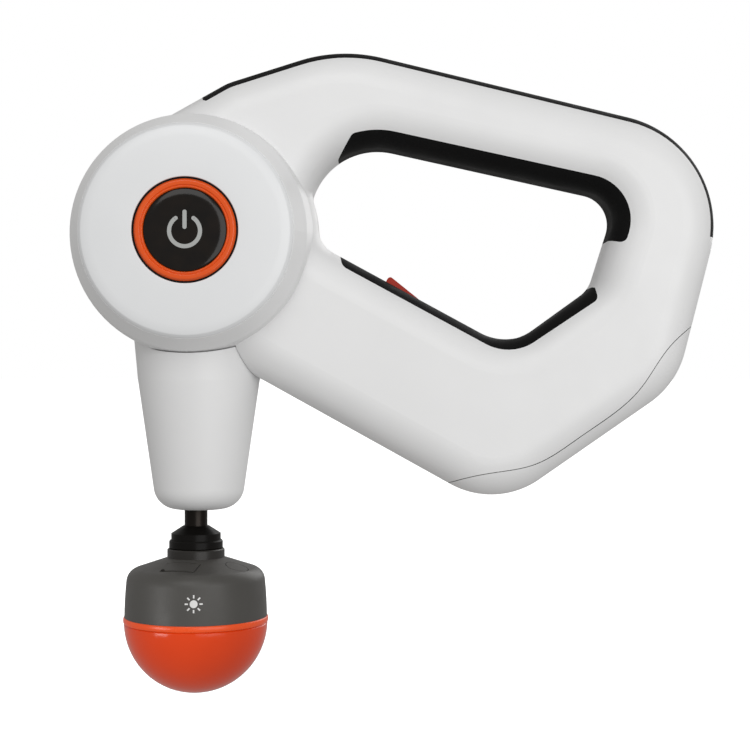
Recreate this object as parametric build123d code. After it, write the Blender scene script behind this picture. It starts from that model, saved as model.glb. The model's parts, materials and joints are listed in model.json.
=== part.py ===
from build123d import *
import os
from math import acos, atan2, cos, degrees, hypot, radians, sin, sqrt

# Percussion massage gun with a closed loop handle, a round head and a tilting nose, in millimetres.
# It is drawn around the tilt axis of the head: the axis runs along Y through (0, 0, 0), +X points
# from the head to the handle and +Z points up, away from the massage ball. The button side of the
# head faces -Y, which is called near here. At the end the gun moves so that the middle of the upper
# grip bar, which a hand holds, is the origin.
GRIP_CENTRE = (105.0, 0.0, 44.6)

# ---------------------------------------------------------------- handle loop
# Corners in the XZ plane, each with the radius of its round.
OUTLINE = [
    ((-21.0, 39.4), 16.0),    # inside the head, upper
    ((12.7, 58.5), 21.3),     # knee where the grip bar leaves the head
    ((55.6, 72.2), 59.1),     # crown of the upper bar
    ((207.2, 35.3), 42.6),    # upper rear corner
    ((183.2, -56.2), 33.6),   # rear corner of the battery cover
    ((114.7, -103.5), 31.9),  # lowest corner
    ((-12.0, -33.2), 16.0),   # inside the head, lower
]
OPENING_REAR_TOP = (162.4, 14.2)
OPENING_REAR = (151.9, -19.5)
OPENING_LOW = (119.9, -42.6)
OPENING_FRONT = (47.3, -3.05)
OPENING_ROUNDS = (11.5, 12.0, 20.0, 11.0)     # upper rear, rear, lowest, front
OPENING_WALL_R = 47.4         # the front wall of the opening runs around the head
OPENING_CORNER = (69.8, 8.0)  # middle of the round in the opening's upper front corner
OPENING_CORNER_R = 26.0
OPENING_CORNER_MIDDLE = 128.0  # direction of that round's middle, in degrees from +X towards +Z
OPENING_CREST_R = 3.0         # round where that corner meets the front wall
HALF_TOP, HALF_TOP_Z = 18.0, 70.0   # half thickness of the handle at its top
HALF_TAPER = 0.033                  # growth of the half thickness per mm downwards
EDGE_R = 14.0                       # round along the handle's edges
SIDE_WALL = 2.5
RIM_WALL = 5.5                      # moulded wall along the outer rim
OPENING_WALL = 6.5                  # moulded wall around the hand opening
HOLLOW_R = 9.0                      # round inside the hollow
FAR = 60.0                          # reach of cutting bodies past the gun's sides

# ---------------------------------------------------------------- head
HEAD_R = 46.3                 # radius of the barrel-shaped head at its middle
HEAD_RIM_R, HEAD_RIM_Y = 43.8, 25.0     # where the barrel ends and the bevel starts
HEAD_RIM_ROUND = 1.6
HEAD_FACE_R = 39.5            # radius of the face inside the bevel
HEAD_FACE_Y = 33.0
HEAD_HOLLOW_R = 37.0
HUB_R, HUB_HALF = 42.6, 18.0  # turning hub of the nose
HUB_WALL = 2.5
HUB_BAY_R, HUB_BAY_HALF = 43.0, 18.3
SIDE_PLATE_Y = 20.8           # outer face of the plates that carry the pivot bushes
WINDOW_FROM, WINDOW_TO = 135.0, 308.0   # slot that the nose swings in, degrees from +X towards +Z
FAR_JOURNAL_R, NEAR_JOURNAL_R = 30.0, 24.0
JOURNAL_WALL = 2.4
JOURNAL_END_Y = 30.0
BUSH_WALL = 3.0
BOSS_WALL = 2.5
RUNNING = 0.05                # radial clearance of every running fit
CAP_R = 39.4
CAP_FACE_Y, CAP_UNDER_Y = 36.2, 34.2
CAP_EDGE = ((36.4, -35.45), (38.1, -34.85), (38.9, -33.95))     # round along the near cap's edge
CAP_SPIGOT, CAP_SPIGOT_Y = (36.7, 34.9), 31.0
BUTTON_R, RING_R = 15.2, 18.6
SLEEVE_R = 19.3               # sleeve in the near cap around the ring and the button
STEM_R = 4.0
CLIP_Y = (-24.4, -23.6)
BUTTON_TRAVEL = 3.0

# ---------------------------------------------------------------- nose
NOSE_TOP_R, NOSE_TOP_Z = 25.6, -30.0
NOSE_BEND_R, NOSE_BEND_Z = 23.3, -54.5
NOSE_LOW_R, NOSE_LOW_Z = 16.2, -104.0
NOSE_END_R = 9.0              # round at the nose's mouth
NOSE_WALL = 2.4
NOSE_GAP = 0.45               # gap between the nose and the head
NOSE_SHIFT = 1.2              # the nose's shell stands this far behind the shaft
ARM_SCREWS = [(36.9, 65.0), (36.9, 115.0), (36.9, 225.0), (36.9, 315.0)]    # radius and angle
ARM_SCREW_SEAT_Y = 15.6
RIB_Z = (-73.0, -67.0)        # rib that carries the upper shaft bush
NOSE_FLOOR_Z = -96.0
BUSH_OUTER_R = 7.0
SEAL_R, SEAL_TOP_Z = 8.0, -101.5
DETENT_R, DETENT_ANGLE = 34.0, 200.0
DETENT_BALL_R, DETENT_BALL_Y = 2.0, -17.1
DETENT_STOPS = (0, 30, 60, 90)

# ---------------------------------------------------------------- drive
STROKE = 16.0
CRANK_R = STROKE / 2
SHAFT_R = 4.4
PIN_R, ROLLER_R = 2.5, 5.0
YOKE_SLACK = 1.85             # room above and below the roller in the yoke's slot
YOKE_HALF = 4.0
YOKE_RIM = 3.5
CRANK_DISC_Y = (7.2, 10.2)
ROTOR_Y = (11.0, 28.2)
ROTOR_R, ROTOR_WALL = 24.5, 2.0
MOTOR_SHAFT_R = 2.45
BEARING_R = 5.2
STATOR_R, STATOR_CORE_R = 19.0, 7.9

# ---------------------------------------------------------------- massage ball
COLLAR_TOP_Z = -110.5
BALL_R, BALL_Z = 27.5, -147.0
SEAM_Z, RIM_TOP_Z, RIM_R = -147.5, -145.1, 27.8
DOME_TOP_Z, DOME_TOP_R = -122.6, 11.0
SHOULDER_R, SHOULDER_Z = 26.1, -127.6
SHOULDER_ROUND = 5.5
DOME_MIDDLE_R, DOME_LOW_R = 26.95, 27.3     # the dome's side swells a little between its ends
DOME_WALL = 2.4
SOCKET_END_Z = -125.5
PORT_PLACE = (16.8, 256.0)    # radius and azimuth of the port flap's middle
PORT_SIZE = (7.4, 13.0)       # down the slope and across it
PORT_THICK = 1.2
PORT_HINGE_IN = 0.6           # the hinge line lies this far inside the flap's upper edge
PORT_SLOT = (3.4, 9.2)        # charging socket
HEAT_PLACE = (19.0, 331.0)
HEAT_R, HEAT_TRAVEL, HEAT_DEPTH = 4.3, 0.8, 3.9

# ---------------------------------------------------------------- battery pack
PACK_POINT = (149.6, -80.7)   # a point on the straight outer face of the battery cover
PACK_ALONG = (0.822, 0.569)   # along the cover's face
PACK_OUT = (0.569, -0.822)    # out of the gun, the way the pack slides
SEAM = [                      # seam of the cover, as (along, out)
    (-52.0, -20.2), (-35.0, -14.4), (-20.0, -7.9), (0.0, -6.7),
    (27.0, -8.5), (45.0, -15.2), (52.0, -16.3), (61.0, -16.0),
]
SEAM_GAP = 0.3
CELL_R, CELL_LENGTH = 9.1, 65.2
CELL_FROM = -29.6
CELL_Y = 9.3
CELL_ROWS = (-13.9, -32.3)
COVER_WALL = 3.2

# ---------------------------------------------------------------- power button
TRIGGER_FOOT = (73.0, -17.2)  # head end of the button on the surface of the lower arm
TRIGGER_ALONG = (0.8755, -0.4833)
TRIGGER_UP = (0.4833, 0.8755)
TRIGGER_LENGTH, TRIGGER_HALF = 14.6, 7.5
TRIGGER_PROUD, TRIGGER_DEEP = 2.75, 2.6
TRIGGER_PIVOT = (13.2, -1.3)
BOARD_DEPTH = (-9.5, -7.9)

SCREW_PLACES = [(28.0, 51.0), (75.0, 51.5), (150.0, 34.2), (177.5, -5.0), (62.0, -43.0), (84.0, -70.0)]
SCREW_HEAD_R, SCREW_SHANK_R = 2.7, 1.5
SCREW_HEAD_HEIGHT = 1.8
SCREW_SINK = 5.0
SCREW_BOSS_R = 4.6


# ---------------------------------------------------------------- shared shapes
def on_xz(*edges):
    """A closed face in the XZ plane from edges drawn in its own plane."""
    return Plane.XZ * make_face(*edges)


def round_corners(face, corners):
    """Round the corners of an XZ face, given as ((x, z), radius) pairs."""
    for (x, z), radius in corners:
        vertex = face.vertices().sort_by_distance(Vector(x, 0, z))[0]
        face = fillet(vertex, radius).faces()[0]
    return face


def rounded_polygon(corners):
    face = on_xz(Polyline(*[corner for corner, _ in corners], close=True))
    return round_corners(face, [pair for pair in corners if pair[1] > 0])


def slab(face, half=FAR):
    """An XZ face made solid to the same distance on both sides."""
    return extrude(face, half, both=True)


def rod_y(radius, y_from, y_to, x=0.0, z=0.0):
    return Location((x, (y_from + y_to) / 2, z), (90, 0, 0)) * Cylinder(radius, abs(y_to - y_from))


def ring_y(inner, outer, y_from, y_to):
    low, high = sorted((y_from, y_to))
    return rod_y(outer, low, high) - rod_y(inner, low - 1, high + 1)


def rod_z(radius, z_from, z_to, x=0.0, y=0.0):
    return Location((x, y, (z_from + z_to) / 2)) * Cylinder(radius, abs(z_to - z_from))


def ring_z(inner, outer, z_from, z_to):
    low, high = sorted((z_from, z_to))
    return rod_z(outer, low, high) - rod_z(inner, low - 1, high + 1)


def block(x_from, x_to, y_from, y_to, z_from, z_to):
    centre = ((x_from + x_to) / 2, (y_from + y_to) / 2, (z_from + z_to) / 2)
    return Location(centre) * Box(x_to - x_from, y_to - y_from, z_to - z_from)


def turned_y(*edges):
    """A body turned about the Y axis from edges drawn as (radius, y)."""
    return revolve(make_face(*edges), Axis.Y)


def turned_z(*edges):
    """A body turned about the Z axis from edges drawn as (radius, z)."""
    return revolve(on_xz(*edges), Axis.Z)


def biggest(shape):
    return shape.solids().sort_by(SortBy.VOLUME)[-1]


def around(radius, degrees_from_x):
    """A point of the XZ plane at a radius and an angle from +X towards +Z."""
    return radius * cos(radians(degrees_from_x)), radius * sin(radians(degrees_from_x))


def local_frame(origin, along, up):
    """A function that turns local (along, up) values into a point of the XZ plane."""
    def place(s, w):
        return (origin[0] + s * along[0] + w * up[0], origin[1] + s * along[1] + w * up[1])
    return place


pack_point = local_frame(PACK_POINT, PACK_ALONG, PACK_OUT)
trigger_point = local_frame(TRIGGER_FOOT, TRIGGER_ALONG, TRIGGER_UP)


def local_block(place, s_range, w_range, half):
    """A block in one of the slanted frames, to half on both sides of the XZ plane."""
    corners = [place(s, w) for s, w in zip(
        (s_range[0], s_range[1], s_range[1], s_range[0]),
        (w_range[0], w_range[0], w_range[1], w_range[1]))]
    return slab(on_xz(Polyline(*corners, close=True)), half)


# ---------------------------------------------------------------- the handle's outside and hollow
def half_thickness(z):
    return HALF_TOP + (HALF_TOP_Z - z) * HALF_TAPER


def between_sides(shrink):
    """The space between the handle's two gently tapering sides, each moved in by shrink."""
    reach = 150.0
    wide, narrow = half_thickness(-reach) - shrink, half_thickness(reach) - shrink
    corners = [(-wide, -reach), (wide, -reach), (narrow, reach), (-narrow, reach)]
    face = Plane.YZ * make_face(Polyline(*corners, close=True))
    return extrude(face, 2 * reach, both=True)


def circles_meet():
    """Where the corner's round crosses the circle of the front wall, on its upper side."""
    cx, cz = OPENING_CORNER
    apart = hypot(cx, cz)
    along = (apart ** 2 + OPENING_WALL_R ** 2 - OPENING_CORNER_R ** 2) / (2 * apart)
    beside = sqrt(OPENING_WALL_R ** 2 - along ** 2)
    return ((along * cx - beside * cz) / apart, (along * cz + beside * cx) / apart)


def opening_bar_start():
    """Where the opening's upper front corner ends and the straight underside of the bar starts."""
    cx, cz = OPENING_CORNER
    run, rise = OPENING_REAR_TOP[0] - cx, OPENING_REAR_TOP[1] - cz
    bar_angle = degrees(atan2(rise, run) + acos(OPENING_CORNER_R / hypot(run, rise)))
    up_x, up_z = around(OPENING_CORNER_R, bar_angle)
    return (cx + up_x, cz + up_z)


def opening_with_front(front_corner, corner_end, front_wall, front_rounds):
    """The hand opening, closed at the head by front_wall, which runs from corner_end to front_corner."""
    cx, cz = OPENING_CORNER
    middle_x, middle_z = around(OPENING_CORNER_R, OPENING_CORNER_MIDDLE)
    bar_start = opening_bar_start()
    walls = Polyline(front_corner, OPENING_LOW, OPENING_REAR, OPENING_REAR_TOP, bar_start)
    corner = ThreePointArc(bar_start, (cx + middle_x, cz + middle_z), corner_end)
    face = on_xz(walls + corner + front_wall)
    rear_rounds = zip((OPENING_REAR_TOP, OPENING_REAR, OPENING_LOW), OPENING_ROUNDS)
    return round_corners(face, list(rear_rounds) + front_rounds)


def opening_face():
    """The hand opening, whose front wall follows the head."""
    crest = circles_meet()
    wall = ThreePointArc(crest, around(hypot(*OPENING_FRONT), 5.0), OPENING_FRONT)
    rounds = [(OPENING_FRONT, OPENING_ROUNDS[3]), (crest, OPENING_CREST_R)]
    return opening_with_front(OPENING_FRONT, crest, wall, rounds)


def smooth_opening_face():
    """The hand opening with a straight front wall in place of the bulge around the head."""
    cx, cz = OPENING_CORNER
    front_x = cx - OPENING_CORNER_R
    slope = (OPENING_LOW[1] - OPENING_FRONT[1]) / (OPENING_LOW[0] - OPENING_FRONT[0])
    front = (front_x, OPENING_FRONT[1] + slope * (front_x - OPENING_FRONT[0]))
    corner_end = (front_x, cz)
    return opening_with_front(front, corner_end, Line(corner_end, front), [(front, OPENING_ROUNDS[3])])


def loop_body(outline, opening, shrink, edge_round):
    """The closed loop between the handle's sides, with its side edges rounded."""
    body = biggest((slab(outline) & between_sides(shrink)) - slab(opening, 2 * FAR))
    sides = [f for f in body.faces() if f.geom_type == GeomType.PLANE and abs(f.normal_at().Y) > 0.9]
    return fillet(ShapeList([edge for side in sides for edge in side.edges()]), edge_round)


def head_body(grow=0.0):
    """The round head with its two bevels; grow moves its surface outwards."""
    face_r, rim_r = HEAD_FACE_R + grow, HEAD_RIM_R + grow
    barrel = ThreePointArc((rim_r, -HEAD_RIM_Y), (HEAD_R + grow, 0), (rim_r, HEAD_RIM_Y))
    ends = Polyline((rim_r, HEAD_RIM_Y), (face_r, HEAD_FACE_Y), (0, HEAD_FACE_Y),
                    (0, -HEAD_FACE_Y), (face_r, -HEAD_FACE_Y), (rim_r, -HEAD_RIM_Y))
    face = make_face(barrel + ends)
    for side in (-1, 1):
        rim = face.vertices().sort_by_distance(Vector(rim_r, side * HEAD_RIM_Y, 0))[0]
        face = fillet(rim, HEAD_RIM_ROUND).faces()[0]
    return revolve(face, Axis.Y)


def beyond_cover_seam(shift):
    """Everything outside the battery cover's seam, with the seam moved out by shift."""
    seam = Spline(*[pack_point(s, w + shift) for s, w in SEAM])
    (s_start, w_start), (s_end, w_end) = SEAM[0], SEAM[-1]
    reach = 60.0
    rest = Polyline(pack_point(s_end, w_end + shift), pack_point(s_end, reach),
                    pack_point(s_start, reach), pack_point(s_start, w_start + shift))
    return slab(on_xz(seam + rest))


# ---------------------------------------------------------------- soft grips
# Each face reaches a little past the handle's surface, and the handle trims it.
def upper_grip_face():
    """Soft band inside the top and the rear corner of the hand opening."""
    width, overhang = 5.4, 3.0
    front_end, rear_end = (60.0, 37.6), (162.4, -2.6)
    opening = opening_face()
    keep = on_xz(Polyline((49.0, 20.0), (64.8, 45.0), (190, 60), (190, -11.5), (120, 9.5), close=True))
    band = (offset(opening, width) - offset(opening, -overhang)) & keep
    return round_corners(band.faces()[0], [(front_end, 3.0), (rear_end, 2.4)])


def lower_grip_face():
    """Thin soft band along the lower arm, round the low corner and up to the rear."""
    return rounded_polygon([
        ((55.0, -4.0), 0), ((56.6, -11.8), 4.0), ((119.7, -46.1), 17.5), ((152.4, -24.3), 3.0),
        ((151.9, -19.6), 0), ((146.0, -17.0), 0), ((119.7, -34.0), 0),
    ])


def top_strip_face():
    """Thin soft strip along the outside of the bar, from the knee to the middle of the rear side."""
    depth, rearward = 3.1, 0.6
    inner = Location((rearward, 0, 0)) * offset(rounded_polygon(OUTLINE), -depth)
    around_it = on_xz(Polyline((4.0, 51.0), (0.5, 60.0), (55, 90), (230, 60), (230, -0.6), (150, -0.6),
                               close=True))
    return (around_it - inner).faces().sort_by(SortBy.AREA)[-1]


# ---------------------------------------------------------------- handle
def screw_in(x, z, clearance=0.0):
    """One shell screw driven from the far side; clearance moves its surface outwards."""
    seat = half_thickness(z) - SCREW_SINK
    shank = rod_y(SCREW_SHANK_R + clearance, -11.0, seat, x, z)
    top = SCREW_HEAD_HEIGHT if clearance == 0 else 2 * SCREW_SINK
    head = rod_y(SCREW_HEAD_R + clearance, seat - clearance, seat + top, x, z)
    return shank + head


def shell_screws():
    return [screw_in(x, z) for x, z in SCREW_PLACES]


def swing_window():
    """The slot in the rim of the head that the neck of the nose swings through."""
    steps = 6
    turn = (WINDOW_TO - WINDOW_FROM) / steps
    angles = [radians(WINDOW_FROM + turn * step) for step in range(steps + 1)]
    reach = 1.2 * HEAD_R
    fan = on_xz(Polyline((0, 0), *[(reach * cos(a), reach * sin(a)) for a in angles], close=True))
    return slab(fan, HUB_BAY_HALF) & rod_y(HEAD_R + 0.5, -HUB_BAY_HALF, HUB_BAY_HALF)


def bush_radius(journal_r):
    return journal_r + RUNNING + BUSH_WALL


def side_bay(side, journal_r):
    """The hollow in one side of the head around the pivot bush's boss."""
    bush_r = bush_radius(journal_r)
    lip = HEAD_FACE_Y + 1.0
    bay = rod_y(bush_r, side * (HUB_BAY_HALF - 1), side * lip)
    bay += ring_y(bush_r + BOSS_WALL, HEAD_HOLLOW_R, side * SIDE_PLATE_Y, side * lip)
    return bay + rod_y(HEAD_HOLLOW_R, side * (JOURNAL_END_Y + 0.5), side * lip)


def trigger_pocket():
    gap = 0.4
    pocket = local_block(trigger_point, (-gap - 0.2, TRIGGER_LENGTH + gap), (-5.2, 6.0), TRIGGER_HALF + gap)
    window = local_block(trigger_point, (0.5, 7.5), (-8.0, -5.0), 3.6)
    return pocket + window + power_button_pin()


def cell_passage():
    """Room for the cells to slide out through the handle's mouth."""
    room = 0.6
    along = (CELL_FROM - 3.0 - room, CELL_FROM + CELL_LENGTH + 2.2 + room)
    return local_block(pack_point, along, (CELL_ROWS[1], 0.0), CELL_Y + CELL_R + room)


def handle_body():
    """The hollow handle with the fixed part of the head, before it is split into two shells."""
    outline, opening = rounded_polygon(OUTLINE), opening_face()
    head_wall_r = OPENING_WALL_R + 0.9
    inner_opening = offset(smooth_opening_face(), OPENING_WALL)
    hollow = loop_body(offset(outline, -RIM_WALL), inner_opening, SIDE_WALL, HOLLOW_R)
    hollow -= rod_y(head_wall_r, -FAR, FAR)
    outside = loop_body(outline, opening, 0.0, EDGE_R) + head_body()
    bosses = [rod_y(SCREW_BOSS_R, 1 - half_thickness(z), half_thickness(z) - 1, x, z)
              for x, z in SCREW_PLACES]
    body = outside - hollow
    body += [boss & hollow for boss in bosses]
    body -= [screw_in(x, z, 0.05) for x, z in SCREW_PLACES]
    body -= rod_y(HUB_BAY_R, -HUB_BAY_HALF, HUB_BAY_HALF)
    body -= swing_window()
    body -= side_bay(-1, NEAR_JOURNAL_R)
    body -= side_bay(1, FAR_JOURNAL_R)
    body -= nose_cone(NOSE_GAP) - head_body()
    for face in (upper_grip_face(), lower_grip_face(), top_strip_face()):
        body -= slab(face)
    body -= trigger_pocket()
    body -= cell_passage()
    body -= beyond_cover_seam(0.0)
    body -= detent_ring_blank()
    return body


def soft_grips():
    outside = loop_body(rounded_polygon(OUTLINE), opening_face(), 0.0, EDGE_R)
    upper = outside & slab(upper_grip_face())
    lower = (outside & slab(lower_grip_face())) - trigger_pocket()
    strip = outside & slab(top_strip_face())
    return upper, lower, strip


def pivot_bush(side, journal_r):
    return ring_y(journal_r + RUNNING, bush_radius(journal_r), side * (HUB_HALF + 0.6), side * JOURNAL_END_Y)


def detent_ring_blank():
    half_width = 3.4
    return ring_y(DETENT_R - half_width, DETENT_R + half_width, -HUB_BAY_HALF, -HUB_BAY_HALF - 1.6)


def detent_ring():
    """Steel ring in the near side plate, with a groove for the detent ball and four stops."""
    groove_half, groove_end, stop_end = 2.3, -19.3, -19.6
    ring = detent_ring_blank()
    ring -= ring_y(DETENT_R - groove_half, DETENT_R + groove_half, -HUB_HALF, groove_end)
    for stop in DETENT_STOPS:
        x, z = around(DETENT_R, DETENT_ANGLE - stop)
        ring -= rod_y(DETENT_BALL_R + 0.1, stop_end, -HUB_HALF, x, z)
    return ring


def near_side_cap():
    """Domed cap over the near side of the head, with the sleeve that guides the button."""
    sleeve_r, floor_y, floor = SLEEVE_R + 1.6, -26.0, 1.5
    stem_r = STEM_R + RUNNING
    outer, inner = CAP_SPIGOT
    dome = ThreePointArc((SLEEVE_R, -CAP_FACE_Y + 0.1), (29.0, -36.0), CAP_EDGE[0])
    edge = ThreePointArc(*CAP_EDGE)
    rest = Polyline(
        CAP_EDGE[2], (CAP_R, -HEAD_FACE_Y), (outer, -HEAD_FACE_Y), (outer, -CAP_SPIGOT_Y),
        (inner, -CAP_SPIGOT_Y), (inner, -HEAD_FACE_Y), (sleeve_r, -CAP_UNDER_Y),
        (sleeve_r, floor_y + floor), (stem_r, floor_y + floor), (stem_r, floor_y),
        (SLEEVE_R, floor_y), (SLEEVE_R, -CAP_FACE_Y + 0.1))
    return turned_y(dome + edge + rest)


def far_side_cap():
    """Plain cap over the far side of the head; the gun can lie on its flat face."""
    flat_r = 33.0
    outer, inner = CAP_SPIGOT
    edge = ThreePointArc((flat_r, CAP_FACE_Y), (37.0, 35.3), (CAP_R, HEAD_FACE_Y + 0.6))
    rest = Polyline(
        (CAP_R, HEAD_FACE_Y + 0.6), (CAP_R, HEAD_FACE_Y), (outer, HEAD_FACE_Y), (outer, CAP_SPIGOT_Y),
        (inner, CAP_SPIGOT_Y), (inner, HEAD_FACE_Y), (flat_r, CAP_UNDER_Y), (0, CAP_UNDER_Y),
        (0, CAP_FACE_Y), (flat_r, CAP_FACE_Y))
    return turned_y(edge + rest)


def ring_gasket():
    return ring_y(RING_R, SLEEVE_R, -26.0, -35.5)


def light_ring():
    """Glowing ring around the button, a sleeve with a rounded front edge."""
    crest, edge, foot = -CAP_FACE_Y - 0.5, -CAP_FACE_Y + 0.4, -26.0
    front = ThreePointArc((BUTTON_R, edge), ((BUTTON_R + RING_R) / 2, crest), (RING_R, edge))
    sleeve = Polyline((RING_R, edge), (RING_R, foot), (BUTTON_R, foot), (BUTTON_R, edge))
    return turned_y(front + sleeve)


def control_board():
    return local_block(trigger_point, (-8.0, 26.0), BOARD_DEPTH, 11.0)


def board_parts():
    """Controller chip, two transistors and a capacitor on the inner face of the board."""
    low = BOARD_DEPTH[0]
    chip = local_block(trigger_point, (8.0, 15.0), (low - 1.2, low), 3.5)
    pair = local_block(trigger_point, (17.0, 23.0), (low - 1.6, low), 9.0)
    pair -= local_block(trigger_point, (16.0, 24.0), (low - 3.0, low + 1.0), 3.0)
    capacitor = local_block(trigger_point, (-5.0, 3.0), (low - 5.0, low), 4.0)
    return [chip, *pair.solids(), capacitor]


def tact_switch():
    body = local_block(trigger_point, (1.2, 6.8), (BOARD_DEPTH[1], -5.6), 2.9)
    cap = local_block(trigger_point, (2.9, 5.1), (-5.6, -4.1), 1.1)
    return body + cap


def battery_terminal():
    return local_block(pack_point, (-41.0, -36.2), (-36.0, -24.0), 8.0)


# ---------------------------------------------------------------- power button
def power_button():
    """Wedge-shaped rocker, thick towards the head and flush at its hinge."""
    deep = -TRIGGER_DEEP
    corners = [(0.0, deep), (0.0, TRIGGER_PROUD), (TRIGGER_LENGTH, 0.2), (TRIGGER_LENGTH, deep)]
    face = rounded_polygon([
        (trigger_point(*corners[0]), 0), (trigger_point(*corners[1]), 1.2),
        (trigger_point(*corners[2]), 0.8), (trigger_point(*corners[3]), 0.8)])
    wedge = slab(face, TRIGGER_HALF)
    x, z = trigger_point(*TRIGGER_PIVOT)
    return wedge - rod_y(1.0, -FAR, FAR, x, z)


def power_button_pin():
    x, z = trigger_point(*TRIGGER_PIVOT)
    return rod_y(0.95, -TRIGGER_HALF - 3.0, TRIGGER_HALF + 3.0, x, z)


def power_button_tick():
    """Raised light mark across the button, clear of its edges."""
    half, height = 2.4, 0.15
    slope = (0.2 - TRIGGER_PROUD) / TRIGGER_LENGTH
    s_from, s_to = 3.3, 3.9
    low, high = (TRIGGER_PROUD + slope * s_from, TRIGGER_PROUD + slope * s_to)
    corners = [trigger_point(s_from, low), trigger_point(s_from, low + height),
               trigger_point(s_to, high + height), trigger_point(s_to, high)]
    return slab(on_xz(Polyline(*corners, close=True)), half)


# ---------------------------------------------------------------- nose and its hub
def nose_cone(grow):
    """The tapered round nose on the Z axis; grow moves its surface outwards."""
    low_z = NOSE_LOW_Z - grow
    profile = on_xz(Polyline(
        (0, NOSE_TOP_Z), (NOSE_TOP_R + grow, NOSE_TOP_Z), (NOSE_BEND_R + grow, NOSE_BEND_Z),
        (NOSE_LOW_R + grow, low_z), (0, low_z), close=True))
    profile = round_corners(profile, [((NOSE_LOW_R + grow, low_z), NOSE_END_R)])
    return Location((NOSE_SHIFT, 0, 0)) * revolve(profile, Axis.Z)


def seat_beside_neck(grow, neck_half):
    """The head grown a little, left and right of the neck: what the nose is hollowed by."""
    return head_body(grow) - block(-FAR, FAR, -neck_half, neck_half, -FAR, FAR)


def arm_screw(x, z, clearance=0.0):
    seat = ARM_SCREW_SEAT_Y
    top = seat + (SCREW_HEAD_HEIGHT if clearance == 0 else 2 * SCREW_HEAD_HEIGHT)
    shank = rod_y(SCREW_SHANK_R + clearance, seat - 23.6, seat, x, z)
    return shank + rod_y(SCREW_HEAD_R + clearance, seat - clearance, top, x, z)


def arm_screws():
    return [arm_screw(*around(*place)) for place in ARM_SCREWS]


def arm_body():
    """Nose, neck and turning hub with its two journals, before the split into two shells."""
    bay_r, bay_half = HUB_R - HUB_WALL, HUB_HALF - HUB_WALL
    nose = nose_cone(0.0) - seat_beside_neck(NOSE_GAP, HUB_HALF)
    inside = nose_cone(-NOSE_WALL) - seat_beside_neck(NOSE_GAP + NOSE_WALL, bay_half)
    inside &= block(-FAR, FAR, -FAR, FAR, NOSE_FLOOR_Z, -HUB_R + 6.0)
    body = nose + rod_y(HUB_R, -HUB_HALF, HUB_HALF)
    body -= rod_y(bay_r, -bay_half, bay_half)
    body -= inside
    body += inside & block(-FAR, FAR, -FAR, FAR, *RIB_Z)
    for x, z in [around(*place) for place in ARM_SCREWS]:
        body += rod_y(3.6, -bay_half - 0.5, bay_half + 0.5, x, z)
        body -= arm_screw(x, z, 0.05)
    for side, journal_r in ((-1, NEAR_JOURNAL_R), (1, FAR_JOURNAL_R)):
        inner = journal_r - JOURNAL_WALL
        body -= rod_y(inner, side * (bay_half - 1), side * (HUB_HALF + 1))
        body += ring_y(inner, journal_r, side * (HUB_HALF - 1), side * JOURNAL_END_Y)
    body -= rod_z(BUSH_OUTER_R, RIB_Z[0] - 1, RIB_Z[1] + 1)
    body -= rod_z(BUSH_OUTER_R, SEAL_TOP_Z, NOSE_FLOOR_Z + 1)
    body -= rod_z(SEAL_R, NOSE_LOW_Z - 1, SEAL_TOP_Z)
    x, z = around(DETENT_R, DETENT_ANGLE)
    return body + rod_y(3.6, -16.0, -7.0, x, z) - rod_y(DETENT_BALL_R + 0.1, -19.0, -8.5, x, z)


def detent_ball():
    x, z = around(DETENT_R, DETENT_ANGLE)
    return Location((x, DETENT_BALL_Y, z)) * Sphere(DETENT_BALL_R)


def detent_spring():
    """Coil spring behind the detent ball."""
    coil_r, wire_r, pitch, height = 1.5, 0.25, 1.1, 5.8
    x, z = around(DETENT_R, DETENT_ANGLE)
    path = Helix(pitch, height, coil_r)
    coil = sweep(Plane(path @ 0, z_dir=path % 0) * Circle(wire_r), path, is_frenet=True)
    return Location((x, -14.9, z), (-90, 0, 0)) * coil


def shaft_bush_upper():
    return ring_z(SHAFT_R + RUNNING, BUSH_OUTER_R, RIB_Z[0] - 2, RIB_Z[1] + 2)


def shaft_bush_lower():
    return ring_z(SHAFT_R + RUNNING, BUSH_OUTER_R, SEAL_TOP_Z, NOSE_FLOOR_Z + 4)


def shaft_seal():
    return ring_z(SHAFT_R + RUNNING, SEAL_R, NOSE_LOW_Z + 0.2, SEAL_TOP_Z)


# ---------------------------------------------------------------- motor, crank and plunger
def motor_mount():
    """Plate that closes the far journal, with the tube that carries bearings and stator."""
    plate_y = ROTOR_Y[1] + 0.6
    plate = rod_y(FAR_JOURNAL_R - JOURNAL_WALL, plate_y, JOURNAL_END_Y)
    return plate + ring_y(BEARING_R, STATOR_CORE_R, 15.0, plate_y)


def motor_stator():
    """Stator core with nine slots for the windings."""
    slots = 9
    core = ring_y(STATOR_CORE_R, STATOR_R, 15.8, 27.2)
    slot = block(STATOR_CORE_R + 2.5, STATOR_R - 2.0, 14, 29, -1.9, 1.9)
    mouth = block(STATOR_R - 3.0, STATOR_R + 1, 14, 29, -0.6, 0.6)
    for index in range(slots):
        core -= Rot(0, index * 360 / slots, 0) * (slot + mouth)
    return core


def motor_bearings():
    return [ring_y(MOTOR_SHAFT_R + RUNNING, BEARING_R, y, y + 3.5) for y in (15.5, 24.0)]


def motor_rotor():
    face = ring_y(MOTOR_SHAFT_R, ROTOR_R, ROTOR_Y[0], ROTOR_Y[0] + 2.0)
    return face + ring_y(ROTOR_R - ROTOR_WALL, ROTOR_R, ROTOR_Y[0] + 1.0, ROTOR_Y[1])


def rotor_magnets():
    return ring_y(STATOR_R + 0.6, ROTOR_R - ROTOR_WALL, 15.5, 27.5)


def motor_shaft():
    return rod_y(MOTOR_SHAFT_R, CRANK_DISC_Y[0], ROTOR_Y[1] - 0.4)


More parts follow.
